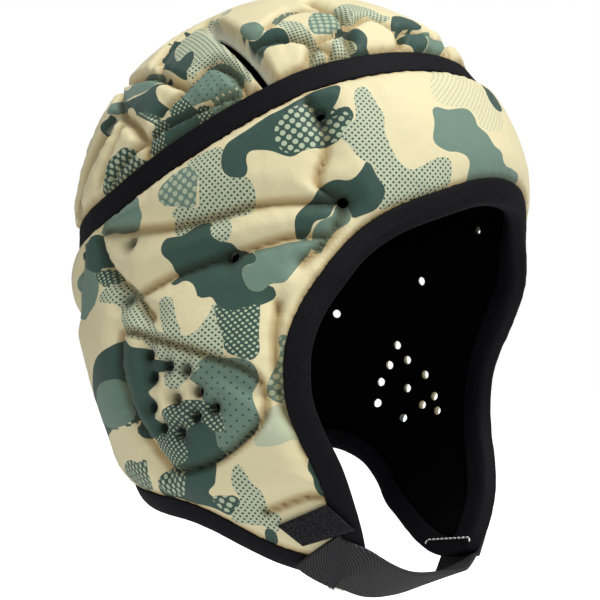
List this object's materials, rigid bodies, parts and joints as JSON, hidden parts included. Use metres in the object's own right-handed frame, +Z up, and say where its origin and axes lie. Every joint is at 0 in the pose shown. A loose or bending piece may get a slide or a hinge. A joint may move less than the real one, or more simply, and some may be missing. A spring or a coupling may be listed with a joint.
{
  "type": "rugby scrum cap",
  "caption": "Padded rugby scrum cap: quilted foam crown and body with ear pads, a bound face opening, flaps over the ears and a webbing chin strap.",
  "frame": {"origin": "top of the inside of the crown, where the cap sits on the head", "axes": "+Z up, the face opening looks to -Y, the wearer's left is +X"},
  "size_m": [0.2031, 0.2153, 0.2701],
  "materials": {
    "printed_cloth": "stretch cloth over foam, printed with a cream and green camouflage and dot screens",
    "black_cloth": "matte black lining cloth",
    "dark_tape": "matte elastic binding tape",
    "pile": "fuzzy loop pile",
    "webbing": "woven webbing"
  },
  "bodies": {
    "root": {"crown_pad": "printed_cloth", "body_pad": "printed_cloth", "lining": "black_cloth", "crown_tape": "dark_tape", "edge_binding": "dark_tape", "fastening_tab": "pile", "chin_strap": "webbing"}
  },
  "joints": []
}
